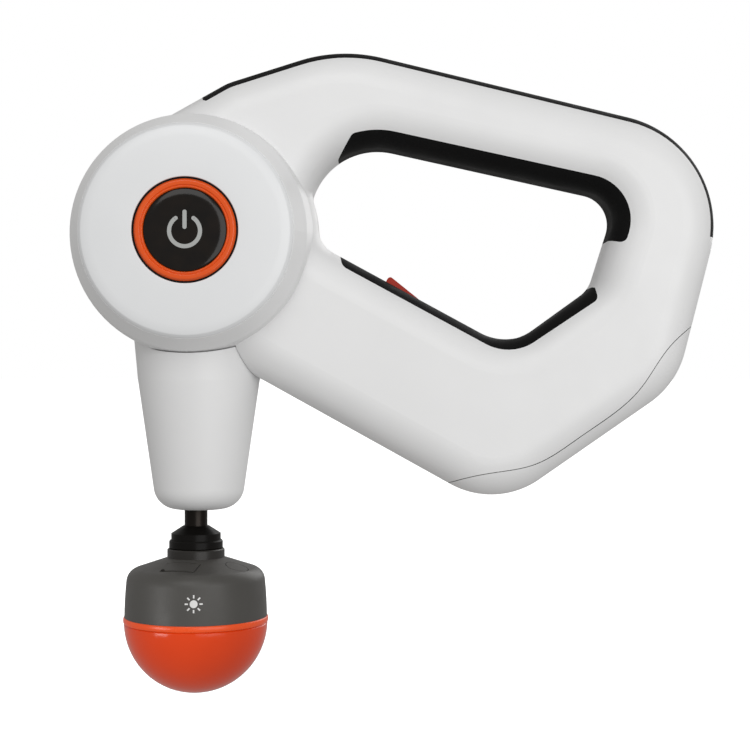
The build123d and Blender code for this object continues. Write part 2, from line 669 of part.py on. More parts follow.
def crank_disc():
    """Crank disc with a counterweight opposite the pin."""
    weight_r, disc_r = 21.0, 12.5
    weight = rod_y(weight_r, *CRANK_DISC_Y) & block(-FAR, FAR, 0, FAR, -FAR, -2.0)
    disc = rod_y(disc_r, *CRANK_DISC_Y) + weight + rod_y(6.0, CRANK_DISC_Y[1], ROTOR_Y[0])
    disc -= rod_y(MOTOR_SHAFT_R, 0, ROTOR_Y[0] + 1)
    return disc - rod_y(PIN_R, 0, CRANK_DISC_Y[1] + 0.5, 0, CRANK_R)


def crank_pin():
    return rod_y(PIN_R, -YOKE_HALF, CRANK_DISC_Y[1], 0, CRANK_R)


def crank_roller():
    half = YOKE_HALF - 0.2
    return rod_y(ROLLER_R, -half, half, 0, CRANK_R) - rod_y(PIN_R, -FAR, FAR, 0, CRANK_R)


def rounded_bar(half_length, radius):
    """A bar with round ends across the X axis, at the height of the crank pin."""
    bar = block(-half_length, half_length, -YOKE_HALF, YOKE_HALF, CRANK_R - radius, CRANK_R + radius)
    for end in (-half_length, half_length):
        bar += rod_y(radius, -YOKE_HALF, YOKE_HALF, end, CRANK_R)
    return bar


def yoke():
    """Slotted yoke that turns the crank pin's circle into a straight stroke."""
    slot_r = ROLLER_R + YOKE_SLACK
    bar = rounded_bar(CRANK_R, slot_r + YOKE_RIM) + rod_z(6.6, -15.0, -1.0)
    slot = rounded_bar(CRANK_R, slot_r)
    return bar - slot - rod_z(SHAFT_R, -20.0, -4.0) - yoke_pin()


def output_shaft():
    rod = rod_z(SHAFT_R, SOCKET_END_Z + 1.0, -4.0)
    return rod - ring_z(SHAFT_R - 0.6, SHAFT_R + 1, -120.2, -118.8) - yoke_pin()


def yoke_pin():
    """Cross pin that holds the shaft in the yoke."""
    return Location((0, 0, -10.0), (0, 90, 0)) * Cylinder(1.2, 13.0)


# ---------------------------------------------------------------- massage ball
def lock_collar():
    """Chamfered collar around the end of the shaft."""
    inner = SHAFT_R + RUNNING
    return turned_z(Polyline((inner, COLLAR_TOP_Z), (5.0, COLLAR_TOP_Z), (9.5, -113.4), (9.5, -115.9),
                             (inner, -115.9), close=True))


def lock_ring():
    return turned_z(Polyline((SHAFT_R + RUNNING, -115.9), (9.9, -115.9), (10.3, -116.4), (10.3, -118.8),
                             (9.9, -119.2), (SHAFT_R + RUNNING, -119.2), close=True))


def base_ring():
    return turned_z(Polyline((SHAFT_R + RUNNING, -119.2), (10.6, -119.2), (11.0, -119.6),
                             (11.0, DOME_TOP_Z), (SHAFT_R + RUNNING, DOME_TOP_Z), close=True))


def dome_outline(shrink, low_z):
    """Half section of the dome down to low_z, with its surface moved in by shrink."""
    shoulder = (SHOULDER_R - shrink, SHOULDER_Z - shrink)
    low = (DOME_LOW_R - shrink, low_z)
    side = ThreePointArc(shoulder, (DOME_MIDDLE_R - shrink, (shoulder[1] + low_z) / 2), low)
    rest = Polyline(low, (0, low_z), (0, DOME_TOP_Z - shrink), (DOME_TOP_R, DOME_TOP_Z - shrink), shoulder)
    return round_corners(on_xz(side + rest), [(shoulder, SHOULDER_ROUND - shrink)])


def dome_housing():
    """Dark dome between the collar and the ball, with the socket for the shaft."""
    dome = revolve(dome_outline(0.0, RIM_TOP_Z), Axis.Z)
    dome -= revolve(dome_outline(DOME_WALL, RIM_TOP_Z), Axis.Z)
    dome += rod_z(8.0, DOME_TOP_Z, -128.0)
    dome -= rod_z(SHAFT_R + RUNNING, DOME_TOP_Z + 1, SOCKET_END_Z)
    dome += port_pocket() + heat_button_pocket()
    return dome - port_flap_blank(0.3) - heat_button_blank(0.25) - port_hole()


def shoulder_place(radius, azimuth):
    """A location on the dome's shoulder cone whose Z axis is the surface normal."""
    run, drop = SHOULDER_R - DOME_TOP_R, DOME_TOP_Z - SHOULDER_Z
    z = DOME_TOP_Z - (radius - DOME_TOP_R) * drop / run
    x_out, y_out = cos(radians(azimuth)), sin(radians(azimuth))
    normal = Vector(x_out * drop, y_out * drop, run)
    down = Vector(x_out * run, y_out * run, -drop)
    return Plane((radius * x_out, radius * y_out, z), x_dir=down, z_dir=normal)


def port_flap_blank(gap, hinge_in=0.0):
    """The flap's slab in its recess, reaching past the dome; hinge_in shortens its upper end."""
    length, width, above = PORT_SIZE[0] + 2 * gap - hinge_in, PORT_SIZE[1] + 2 * gap, 2.0
    slab_box = Location((hinge_in / 2, 0, (above - PORT_THICK) / 2)) * Box(length, width, above + PORT_THICK)
    return shoulder_place(*PORT_PLACE) * slab_box


def port_flap():
    """Soft flap with a round hinge bead along its upper edge and a notch for a fingernail."""
    place = shoulder_place(*PORT_PLACE)
    down, across = PORT_SIZE
    notch_r = 1.6
    blank = port_flap_blank(0.0, PORT_HINGE_IN) & revolve(dome_outline(-0.25, RIM_TOP_Z), Axis.Z)
    notch = place * (Location((down / 2, -across / 2, 0)) * Cylinder(notch_r, 8))
    bead_place = Location((PORT_HINGE_IN - down / 2, 0, -PORT_THICK / 2), (90, 0, 0))
    bead = place * (bead_place * Cylinder(PORT_THICK / 2, across))
    return biggest(blank - notch) + bead


def port_pocket():
    """Floor and walls under the flap, around the charging socket."""
    tray = Location((0, 0, -PORT_THICK - 1.0)) * Box(PORT_SIZE[0] + 2.4, PORT_SIZE[1] + 2.4, 2.4)
    return shoulder_place(*PORT_PLACE) * tray


def port_hole():
    return shoulder_place(*PORT_PLACE) * (Location((0, 0, -PORT_THICK - 2.0)) * Box(*PORT_SLOT, 5.0))


def charge_socket():
    """Charging socket under the flap."""
    wall = 0.5
    body = Location((0, 0, -PORT_THICK - 2.6)) * Box(*PORT_SLOT, 4.6)
    mouth = Location((0, 0, -PORT_THICK - 1.6)) * Box(PORT_SLOT[0] - 2 * wall, PORT_SLOT[1] - 2 * wall, 4.0)
    return shoulder_place(*PORT_PLACE) * (body - mouth)


def heat_button_blank(gap):
    """The button's hole: it is HEAT_DEPTH deep and open above the shoulder."""
    above = 4.0
    return shoulder_place(*HEAT_PLACE) * (
        Location((0, 0, (above - HEAT_DEPTH) / 2)) * Cylinder(HEAT_R + gap, above + HEAT_DEPTH))


def heat_button():
    """Round push button on the dome's shoulder, flush with the surface."""
    rod = heat_button_blank(0.0) & revolve(dome_outline(0.0, RIM_TOP_Z), Axis.Z)
    room = Location((0, 0, -HEAT_DEPTH)) * Cylinder(HEAT_R + 1, 2 * HEAT_TRAVEL + 0.4)
    return biggest(rod - shoulder_place(*HEAT_PLACE) * room)


def heat_button_pocket():
    return shoulder_place(*HEAT_PLACE) * (Location((0, 0, -3.3)) * Cylinder(HEAT_R + 1.5, 3.8))


def rim_ring():
    return turned_z(Polyline((0, RIM_TOP_Z), (RIM_R - 0.3, RIM_TOP_Z), (RIM_R, RIM_TOP_Z - 0.3),
                             (RIM_R, SEAM_Z + 0.3), (RIM_R - 0.3, SEAM_Z), (22.0, SEAM_Z),
                             (22.0, SEAM_Z + 0.8), (0, SEAM_Z + 0.8), close=True))


def ball_cap():
    """Glossy lower half of the ball, a moulded bowl."""
    wall = 3.4
    ball = Location((0, 0, BALL_Z)) * (Sphere(BALL_R) - Sphere(BALL_R - wall))
    return ball & block(-FAR, FAR, -FAR, FAR, -FAR - 140, SEAM_Z)


def warming_plate():
    """Aluminium bowl pressed against the inside of the ball."""
    ball = Location((0, 0, BALL_Z)) * (Sphere(24.0) - Sphere(22.6))
    return ball & block(-FAR, FAR, -FAR, FAR, -FAR - 140, SEAM_Z - 0.2)


def ball_battery():
    return block(-12, 12, -9, 9, -155.0, SEAM_Z + 0.8)


def ball_board():
    return rod_z(16.0, -141.6, -140.0) + rod_z(3.0, -145.0, -141.6)


# ---------------------------------------------------------------- battery pack
def battery_cover():
    """Hollow cover over the lower rear corner of the handle."""
    outline, opening = rounded_polygon(OUTLINE), opening_face()
    beyond = beyond_cover_seam(SEAM_GAP)
    outside = loop_body(outline, opening, 0.0, EDGE_R) & beyond
    hollow = loop_body(offset(outline, -COVER_WALL), opening, SIDE_WALL, HOLLOW_R)
    return biggest(outside - hollow)


def cell_rods(radius):
    rods = []
    for row in CELL_ROWS:
        for y in (-CELL_Y, CELL_Y):
            x_from, z_from = pack_point(CELL_FROM, row)
            x_to, z_to = pack_point(CELL_FROM + CELL_LENGTH, row)
            edge = Line((x_from, y, z_from), (x_to, y, z_to))
            rods.append(sweep(Plane(edge @ 0, z_dir=edge % 0) * Circle(radius), edge))
    return rods


def cell_cradle():
    """Open cradle with two end plates and a spine that hold the four cells."""
    end = CELL_FROM + CELL_LENGTH
    spine = local_block(pack_point, (CELL_FROM, end), (-35.0, -11.0), 6.5)
    plate, plate_half, gap = 2.2, 15.0, 0.3
    plates = local_block(pack_point, (CELL_FROM - plate, CELL_FROM), (-40.6, -4.0), plate_half)
    plates += local_block(pack_point, (end, end + plate), (-40.6, -4.0), plate_half)
    inside = offset(rounded_polygon(OUTLINE), -COVER_WALL - gap)
    room = loop_body(inside, opening_face(), SIDE_WALL + gap, HOLLOW_R)
    return (spine - cell_rods(CELL_R + 0.05) + plates) & room


def pack_contacts():
    """Four contact strips on the front end plate."""
    strips = []
    for y in (-6.0, -2.0, 2.0, 6.0):
        strip = local_block(pack_point, (CELL_FROM - 3.0, CELL_FROM - 2.2), (-35.0, -25.0), 7.0)
        strips.append(strip & block(0, 300, y - 1.0, y + 1.0, -200, 100))
    return strips


# ---------------------------------------------------------------- head button
def head_button():
    """Round button with a guide stem behind its face."""
    front, back, edge_r = -CAP_FACE_Y - 0.15, -CAP_FACE_Y + BUTTON_TRAVEL, BUTTON_R - RUNNING
    face = turned_y(Polyline((0, front), (edge_r - 0.95, front), (edge_r, front + 0.85), (edge_r, back),
                             (0, back), close=True))
    return face + rod_y(STEM_R, back - 0.8, CLIP_Y[1] + 0.1)


def head_button_clip():
    return ring_y(STEM_R, STEM_R + 2.2, *CLIP_Y)


# ---------------------------------------------------------------- write every piece
def pieces():
    """Every piece of the gun by name."""
    handle, arm = handle_body(), arm_body()
    near_side = block(-300, 300, -FAR, 0, -300, 300)
    far_side = block(-300, 300, 0, FAR, -300, 300)
    upper_grip, lower_grip, top_strip = soft_grips()
    return {
        "near_shell": handle & near_side,
        "far_shell": handle & far_side,
        "upper_grip": upper_grip,
        "lower_grip": lower_grip,
        "top_strip": top_strip,
        "near_side_cap": near_side_cap(),
        "far_side_cap": far_side_cap(),
        "ring_gasket": ring_gasket(),
        "light_ring": light_ring(),
        "near_pivot_bush": pivot_bush(-1, NEAR_JOURNAL_R),
        "far_pivot_bush": pivot_bush(1, FAR_JOURNAL_R),
        "detent_ring": detent_ring(),
        "shell_screws": shell_screws(),
        "control_board": control_board(),
        "board_parts": board_parts(),
        "tact_switch": tact_switch(),
        "battery_terminal": battery_terminal(),
        "power_button_pin": power_button_pin(),
        "power_button": power_button(),
        "power_button_tick": power_button_tick(),
        "head_button": head_button(),
        "head_button_clip": head_button_clip(),
        "battery_cover": battery_cover(),
        "cell_cradle": cell_cradle(),
        "battery_cells": cell_rods(CELL_R),
        "pack_contacts": pack_contacts(),
        "arm_shell_near": arm & near_side,
        "arm_shell_far": arm & far_side,
        "arm_screws": arm_screws(),
        "detent_ball": detent_ball(),
        "detent_spring": detent_spring(),
        "shaft_bush_upper": shaft_bush_upper(),
        "shaft_bush_lower": shaft_bush_lower(),
        "shaft_seal": shaft_seal(),
        "motor_mount": motor_mount(),
        "motor_stator": motor_stator(),
        "motor_bearings": motor_bearings(),
        "motor_rotor": motor_rotor(),
        "rotor_magnets": rotor_magnets(),
        "motor_shaft": motor_shaft(),
        "crank_disc": crank_disc(),
        "crank_pin": crank_pin(),
        "crank_roller": crank_roller(),
        "yoke": yoke(),
        "yoke_pin": yoke_pin(),
        "output_shaft": output_shaft(),
        "lock_collar": lock_collar(),
        "lock_ring": lock_ring(),
        "base_ring": base_ring(),
        "dome_housing": dome_housing(),
        "port_flap": port_flap(),
        "charge_socket": charge_socket(),
        "heat_button": heat_button(),
        "rim_ring": rim_ring(),
        "ball_cap": ball_cap(),
        "warming_plate": warming_plate(),
        "ball_battery": ball_battery(),
        "ball_board": ball_board(),
    }


def solids_of(shape):
    if isinstance(shape, list):
        return [solid for item in shape for solid in item.solids()]
    return shape.solids()


if __name__ == "__main__":
    os.makedirs("parts", exist_ok=True)
    move = Location((-GRIP_CENTRE[0], -GRIP_CENTRE[1], -GRIP_CENTRE[2]))
    for name, shape in pieces().items():
        moved = [move * solid for solid in solids_of(shape)]
        export_step(Compound(children=moved) if len(moved) > 1 else moved[0], f"parts/{name}.step")
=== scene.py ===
import json
from math import cos, pi, radians, sin, sqrt, tan

import bmesh
import bpy
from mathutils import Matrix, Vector
from mathutils.bvhtree import BVHTree


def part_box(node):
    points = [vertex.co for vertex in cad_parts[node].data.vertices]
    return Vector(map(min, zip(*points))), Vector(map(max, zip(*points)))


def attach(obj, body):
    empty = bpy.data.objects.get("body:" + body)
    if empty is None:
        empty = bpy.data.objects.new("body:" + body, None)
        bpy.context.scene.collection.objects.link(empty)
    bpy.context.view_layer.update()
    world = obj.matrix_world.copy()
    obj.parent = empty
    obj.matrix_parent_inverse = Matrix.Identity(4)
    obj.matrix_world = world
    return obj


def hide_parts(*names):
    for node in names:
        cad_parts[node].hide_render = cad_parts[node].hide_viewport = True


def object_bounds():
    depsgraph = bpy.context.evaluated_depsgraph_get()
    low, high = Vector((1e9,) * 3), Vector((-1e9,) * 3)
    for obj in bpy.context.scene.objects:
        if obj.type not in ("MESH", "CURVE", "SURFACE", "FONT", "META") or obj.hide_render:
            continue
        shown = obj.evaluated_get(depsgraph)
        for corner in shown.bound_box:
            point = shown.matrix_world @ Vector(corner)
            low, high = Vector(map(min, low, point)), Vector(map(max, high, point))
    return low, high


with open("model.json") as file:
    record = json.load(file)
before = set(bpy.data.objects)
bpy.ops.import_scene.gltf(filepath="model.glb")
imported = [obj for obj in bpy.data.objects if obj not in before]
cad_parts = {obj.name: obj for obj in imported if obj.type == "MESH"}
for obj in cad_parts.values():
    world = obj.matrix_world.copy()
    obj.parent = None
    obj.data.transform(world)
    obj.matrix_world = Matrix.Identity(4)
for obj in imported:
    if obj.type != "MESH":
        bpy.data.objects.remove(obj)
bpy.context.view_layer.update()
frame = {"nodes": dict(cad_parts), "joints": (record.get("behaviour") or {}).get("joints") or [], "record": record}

MM = 0.001
NODES = frame["nodes"]
JOINTS = {joint["name"]: joint for joint in frame["joints"]}
TILT_AXIS = Vector(JOINTS["arm_tilt"]["pos_m"])     # the head's centre, on the middle plane


def middle_of(node):
    """Lowest corner, highest corner and middle of a node's box."""
    low, high = (Vector(corner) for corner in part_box(node))
    return low, high, (low + high) / 2


# ---------------------------------------------------------------- camera and stage
VIEW_DISTANCE = 0.6
LENS = 74.8
AIM_FROM_HEAD = Vector((68.9, 0.0, -52.6)) * MM
FLOOR_DROP = 60.0 * MM        # how far the floor lies below the ball
FLOOR_GLOW = 1.15             # brightness of the floor under its own light
AMBIENT = 0.42                # strength of the even light on the gun
STUDIO_LIGHTS = {             # place from the middle of the view, size and power
    "key": ((0.42, -0.85, 0.03), 0.8, 4.6),
    "fill": ((-0.15, -0.7, 0.55), 0.5, 1.9),
    "back": ((0.55, 0.8, 0.45), 0.8, 3.5),
}
BALL_LIGHT = ((-0.4, -0.35, -0.02), 0.22, 0.9)      # the same, from the middle of the ball
DARKER = {"base_ring": "base_dark"}     # nodes with a shade of their own slot
BALL_PIECES = ("ball_half", "rim_band", "dome_housing")


def add_camera():
    """Level camera square to the side of the gun."""
    data = bpy.data.cameras.new("camera")
    data.lens = LENS
    data.sensor_width = 36.0
    data.clip_start = 0.01
    camera = bpy.data.objects.new("camera", data)
    camera.location = TILT_AXIS + AIM_FROM_HEAD + Vector((0, -VIEW_DISTANCE, 0))
    camera.rotation_euler = (radians(90), 0, 0)
    bpy.context.scene.collection.objects.link(camera)
    bpy.context.scene.camera = camera


def area_light(name, place, target, size, power):
    """Soft white square light at place, turned towards target."""
    data = bpy.data.lights.new(name, "AREA")
    data.shape = "SQUARE"
    data.size = size
    data.energy = power
    light = bpy.data.objects.new(name, data)
    light.location = place
    light.rotation_euler = (Vector(target) - Vector(place)).to_track_quat("-Z", "Y").to_euler()
    bpy.context.scene.collection.objects.link(light)
    return light


def add_world(ambient):
    """White backdrop for the camera, with a weaker even light on the gun."""
    world = bpy.data.worlds.new("studio")
    world.use_nodes = True
    nodes, links = world.node_tree.nodes, world.node_tree.links
    nodes.clear()
    output = nodes.new("ShaderNodeOutputWorld")
    path = nodes.new("ShaderNodeLightPath")
    seen = nodes.new("ShaderNodeBackground")
    seen.inputs["Color"].default_value = (1, 1, 1, 1)
    lit = nodes.new("ShaderNodeBackground")
    lit.inputs["Color"].default_value = (1.0, 0.99, 0.975, 1)
    lit.inputs["Strength"].default_value = ambient
    mix = nodes.new("ShaderNodeMixShader")
    links.new(path.outputs["Is Camera Ray"], mix.inputs["Fac"])
    links.new(lit.outputs[0], mix.inputs[1])
    links.new(seen.outputs[0], mix.inputs[2])
    links.new(mix.outputs[0], output.inputs["Surface"])
    bpy.context.scene.world = world


def add_floor():
    """Large pale floor below the ball, with a light of its own."""
    size = 60.0
    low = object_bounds()[0].z - FLOOR_DROP
    mesh = bpy.data.meshes.new("floor")
    corners = [(x * size, y * size, 0) for x, y in ((-1, -1), (1, -1), (1, 1), (-1, 1))]
    mesh.from_pydata(corners, [], [(0, 1, 2, 3)])
    floor = bpy.data.objects.new("floor", mesh)
    floor.location = (TILT_AXIS.x + AIM_FROM_HEAD.x, 0, low)
    material, shader, nodes, links = plain_material("floor_pale")
    shader.inputs["Base Color"].default_value = (0.9, 0.9, 0.9, 1)
    shader.inputs["Roughness"].default_value = 0.9
    mesh.materials.append(material)
    floor.visible_diffuse = False
    floor.visible_glossy = False
    bpy.context.scene.collection.objects.link(floor)
    lit = bpy.data.collections.new("lit_by_floor_light")
    lit.objects.link(floor)
    light = bpy.data.lights.new("floor_light", "SUN")
    light.angle = radians(30)
    light.energy = FLOOR_GLOW * pi
    lamp = bpy.data.objects.new("floor_light", light)
    lamp.light_linking.receiver_collection = lit
    bpy.context.scene.collection.objects.link(lamp)


def add_studio_lights():
    """The key and the back light face the middle of the view, and the fill light the head."""
    middle = TILT_AXIS + AIM_FROM_HEAD
    for name, (place, size, power) in STUDIO_LIGHTS.items():
        target = TILT_AXIS if name == "fill" else middle
        area_light(name, middle + Vector(place), target, size, power)


def add_ball_light():
    """Soft light from the left that falls on the ball and its dome only."""
    middle = middle_of("ball_cap")[2]
    place, size, power = BALL_LIGHT
    light = area_light("ball_light", middle + Vector(place), middle, size, power)
    lit = bpy.data.collections.new("lit_by_ball_light")
    for name in BALL_PIECES:
        lit.objects.link(bpy.data.objects[name])
    light.light_linking.receiver_collection = lit


# ---------------------------------------------------------------- materials
def plain_material(name):
    material = bpy.data.materials.new(name)
    material.use_nodes = True
    tree = material.node_tree
    return material, tree.nodes["Principled BSDF"], tree.nodes, tree.links


def object_noise(nodes, links, scale, detail=3.0, rough=0.55):
    """Noise in the piece's own metres, so that it stays put and keeps its scale."""
    place = nodes.new("ShaderNodeTexCoord")
    noise = nodes.new("ShaderNodeTexNoise")
    noise.inputs["Scale"].default_value = scale
    noise.inputs["Detail"].default_value = detail
    noise.inputs["Roughness"].default_value = rough
    links.new(place.outputs["Object"], noise.inputs["Vector"])
    return noise


def spread(nodes, links, source, low, high, from_low=0.3, from_high=0.7):
    """Maps a noise to the range low..high."""
    span = nodes.new("ShaderNodeMapRange")
    span.inputs["From Min"].default_value = from_low
    span.inputs["From Max"].default_value = from_high
    span.inputs["To Min"].default_value = low
    span.inputs["To Max"].default_value = high
    links.new(source, span.inputs["Value"])
    return span.outputs["Result"]


def blend_colours(nodes, links, factor, first, second):
    mix = nodes.new("ShaderNodeMix")
    mix.data_type = "RGBA"
    mix.inputs["A"].default_value = (*first, 1)
    mix.inputs["B"].default_value = (*second, 1)
    links.new(factor, mix.inputs["Factor"])
    return mix.outputs["Result"]


def moulded(name, colour, shade, rough, grain, bump, coat=0.0, spec=0.5, cloud=25.0):
    """Moulded material: colour and shade mottle it, rough is its two roughness limits, and grain and
    bump are the size in metres and the height of its fine surface texture."""
    material, shader, nodes, links = plain_material(name)
    clouds = object_noise(nodes, links, cloud)
    links.new(blend_colours(nodes, links, spread(nodes, links, clouds.outputs["Fac"], 0, 1), colour, shade),
              shader.inputs["Base Color"])
    smudge = object_noise(nodes, links, 90.0, 4.0)
    links.new(spread(nodes, links, smudge.outputs["Fac"], *rough), shader.inputs["Roughness"])
    if bump:
        texture = object_noise(nodes, links, 1.0 / grain, 2.0)
        relief = nodes.new("ShaderNodeBump")
        relief.inputs["Strength"].default_value = bump
        relief.inputs["Distance"].default_value = grain * 0.3
        links.new(texture.outputs["Fac"], relief.inputs["Height"])
        links.new(relief.outputs["Normal"], shader.inputs["Normal"])
    shader.inputs["Coat Weight"].default_value = coat
    shader.inputs["Coat Roughness"].default_value = 0.06
    shader.inputs["Specular IOR Level"].default_value = spec
    return material


def metal(name, colour, rough, grain=0.0004, bump=0.12):
    material = moulded(name, colour, tuple(0.82 * c for c in colour), rough, grain, bump)
    material.node_tree.nodes["Principled BSDF"].inputs["Metallic"].default_value = 1.0
    return material


# Two colours that mottle the material, its two roughness limits, grain in metres, bump and other values.
MOULDED = {
    "shell_white": ((0.795, 0.797, 0.8), (0.768, 0.77, 0.773), (0.34, 0.44), 0.0005, 0.05, {}),
    "cap_white": ((0.79, 0.8, 0.81), (0.77, 0.78, 0.79), (0.28, 0.36), 0.0005, 0.03, {}),
    "grip_black": ((0.0035, 0.0035, 0.0035), (0.005, 0.005, 0.005),
                   (0.6, 0.75), 0.0006, 0.35, {"spec": 0.12}),
    "orange_gloss": ((0.8, 0.1, 0.01), (0.74, 0.085, 0.008), (0.18, 0.26), 0.0006, 0.02, {"spec": 0.4}),
    "ball_orange": ((0.72, 0.052, 0.004), (0.66, 0.045, 0.003), (0.13, 0.2), 0.0009, 0.03, {"spec": 0.4}),
    "rim_orange": ((0.84, 0.085, 0.012), (0.78, 0.07, 0.01), (0.24, 0.32), 0.0006, 0.03, {"spec": 0.4}),
    "mark_grey": ((0.42, 0.43, 0.42), (0.36, 0.37, 0.36), (0.3, 0.4), 0.0004, 0.03, {}),
    "button_black": ((0.0045, 0.0035, 0.003), (0.009, 0.006, 0.004),
                     (0.1, 0.16), 0.0014, 0.02, {"coat": 0.0, "spec": 0.28, "cloud": 160.0}),
    "button_red": ((0.42, 0.022, 0.005), (0.34, 0.016, 0.004), (0.35, 0.45), 0.0005, 0.08, {"spec": 0.25}),
    "mark_white": ((0.8, 0.8, 0.79), (0.76, 0.76, 0.75), (0.4, 0.5), 0.0004, 0.03, {}),
    "dome_dark": ((0.066, 0.063, 0.058), (0.052, 0.05, 0.046), (0.4, 0.52), 0.0004, 0.12, {"spec": 0.35}),
    "collar_black": ((0.006, 0.0055, 0.005), (0.009, 0.008, 0.007),
                     (0.28, 0.4), 0.0004, 0.1, {"spec": 0.09}),
    "base_dark": ((0.022, 0.02, 0.018), (0.03, 0.028, 0.025), (0.3, 0.42), 0.0004, 0.1, {"spec": 0.3}),
    "cell_wrap": ((0.05, 0.16, 0.32), (0.04, 0.13, 0.27), (0.25, 0.35), 0.0005, 0.03, {}),
    "board_green": ((0.02, 0.11, 0.05), (0.015, 0.09, 0.04), (0.3, 0.45), 0.0004, 0.08, {}),
}
METALS = {      # colour and the two roughness limits
    "shaft_dark": ((0.022, 0.019, 0.017), (0.3, 0.42)),
    "steel": ((0.55, 0.55, 0.55), (0.25, 0.38)),
    "stator_iron": ((0.16, 0.14, 0.12), (0.45, 0.6)),
    "bronze": ((0.6, 0.38, 0.18), (0.28, 0.4)),
    "alloy": ((0.66, 0.66, 0.68), (0.3, 0.42)),
}


def make_materials():
    made = {name: moulded(name, *row[:-1], **row[-1]) for name, row in MOULDED.items()}
    made.update({name: metal(name, *row) for name, row in METALS.items()})
    return made


def paint_nodes(materials):
    """Gives every CAD node the material of its slot."""
    slots = {part["node"]: part["material_slot"] for part in frame["record"]["subparts"]}
    for name, node in NODES.items():
        node.data.materials.clear()
        node.data.materials.append(materials[DARKER.get(name, slots[name])])


# ---------------------------------------------------------------- mesh helpers
def rounded_profile(corners, steps=10):
    """Open profile through (radius, height, round) corners, with an arc at each rounded corner."""
    points = []
    last = len(corners) - 1
    for index, (r, h, fillet) in enumerate(corners):
        here = Vector((r, h))
        if fillet == 0 or index in (0, last):
            points.append(here)
            continue
        before = (Vector(corners[index - 1][:2]) - here).normalized()
        after = (Vector(corners[index + 1][:2]) - here).normalized()
        half = before.angle(after) / 2
        centre = here + (before + after).normalized() * (fillet / sin(half))
        start = here + before * (fillet / tan(half))
        end = here + after * (fillet / tan(half))
        for step in range(steps + 1):
            ray = (start - centre).lerp(end - centre, step / steps)
            points.append(centre + ray.normalized() * fillet)
    return points


def linked_piece(name, work):
    """A new object in the scene from a bmesh, with its faces turned outwards."""
    mesh = bpy.data.meshes.new(name)
    bmesh.ops.recalc_face_normals(work, faces=work.faces)
    work.to_mesh(mesh)
    work.free()
    piece = bpy.data.objects.new(name, mesh)
    bpy.context.scene.collection.objects.link(piece)
    return piece


def turned(name, profile, centre, along, segments=256):
    """Closed body turned about an axis through centre, with its heights along +Y ("y") or +Z ("z")."""
    on_axis = 1e-7
    work = bmesh.new()
    rings = []
    for r, h in profile:
        ring = []
        for k in range(segments if r > on_axis else 1):
            turn = 2 * pi * k / segments
            across = (r * cos(turn), r * sin(turn))
            offset = (across[0], h, across[1]) if along == "y" else (across[0], across[1], h)
            ring.append(work.verts.new(Vector(centre) + Vector(offset)))
        rings.append(ring)
    around = rings[1:] + rings[:1] if profile[0][0] > on_axis else rings[1:]
    for low, high in zip(rings, around):
        for k in range(segments):
            turn = (k + 1) % segments
            quad = (low[k % len(low)], low[turn % len(low)], high[turn % len(high)], high[k % len(high)])
            corners = list(dict.fromkeys(quad))
            if len(corners) > 2:
                work.faces.new(corners)
    piece = linked_piece(name, work)
    piece.data.shade_smooth()
    piece.data.set_sharp_from_angle(angle=radians(40))
    return piece


def finish_piece(piece, body, material):
    """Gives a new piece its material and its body."""
    piece.data.materials.append(material)
    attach(piece, body)


def front_surface(node):
    """Search tree of a node's faces, for laying prints on it."""
    mesh = NODES[node].data
    mesh.calc_loop_triangles()
    triangles = [tuple(t.vertices) for t in mesh.loop_triangles]
    return BVHTree.FromPolygons([v.co.copy() for v in mesh.vertices], triangles)


def print_on(name, shapes, surface_y, thick):
    """Raised print made of convex (x, z) outlines, thick on both sides of the ground at surface_y."""
    work = bmesh.new()
    for outline in shapes:
        middle = sum((Vector(p) for p in outline), Vector((0, 0))) / len(outline)
        top = [work.verts.new((x, surface_y(x, z) - thick, z)) for x, z in outline]
        foot = [work.verts.new((x, surface_y(x, z) + thick, z)) for x, z in outline]
        hub = work.verts.new((middle.x, surface_y(*middle) - thick, middle.y))
        for k in range(len(outline)):
            after = (k + 1) % len(outline)
            work.faces.new((hub, top[k], top[after]))
            work.faces.new((top[after], top[k], foot[k], foot[after]))
    return linked_piece(name, work)


def arc_band(cx, cz, inner, outer, from_deg, to_deg, steps):
    """Short quads that make up a piece of a ring in the XZ plane."""
    shapes = []
    for k in range(steps):
        a, b = (radians(from_deg + (to_deg - from_deg) * (k + j) / steps) for j in (0, 1))
        shapes.append([(cx + r * cos(t), cz + r * sin(t))
                       for r, t in ((inner, a), (outer, a), (outer, b), (inner, b))])
    return shapes


def disc_outline(cx, cz, radius, count=20):
    """A round outline in the XZ plane."""
    return [(cx + radius * cos(2 * pi * k / count), cz + radius * sin(2 * pi * k / count))
            for k in range(count)]


def crowned_corners(from_r, to_r, height, rise, steps):
    """Profile corners from from_r to to_r whose height grows by rise, slowly at first."""
    shares = [k / steps for k in range(1, steps + 1)]
    return [(from_r + (to_r - from_r) * share, height + rise * share ** 2, 0) for share in shares]


# ---------------------------------------------------------------- pieces around the head
PRINT_THICK = 0.05 * MM
CAP_GAP = 0.75 * MM           # between the light ring and the bore of the cap
CAP_CROWN_R, CAP_CROWN_RISE = 36.4 * MM, 0.65 * MM
CAP_DEPTH, CAP_LIP = 3.1 * MM, 1.5 * MM
LENS_INNER_R = 15.2 * MM
BUTTON_DEPTH, BUTTON_STEM_R = 5.0 * MM, 4.0 * MM
BUTTON_EDGE, BUTTON_RISE = 0.8 * MM, 0.25 * MM
SYMBOL_R, SYMBOL_STROKE, SYMBOL_DOWN = 5.6 * MM, 0.75 * MM, 0.4 * MM
SYMBOL_ARC = (125, 415)       # the switch symbol's ring, in degrees, open at its top
SYMBOL_BAR = (1.4 * MM, 6.9 * MM)


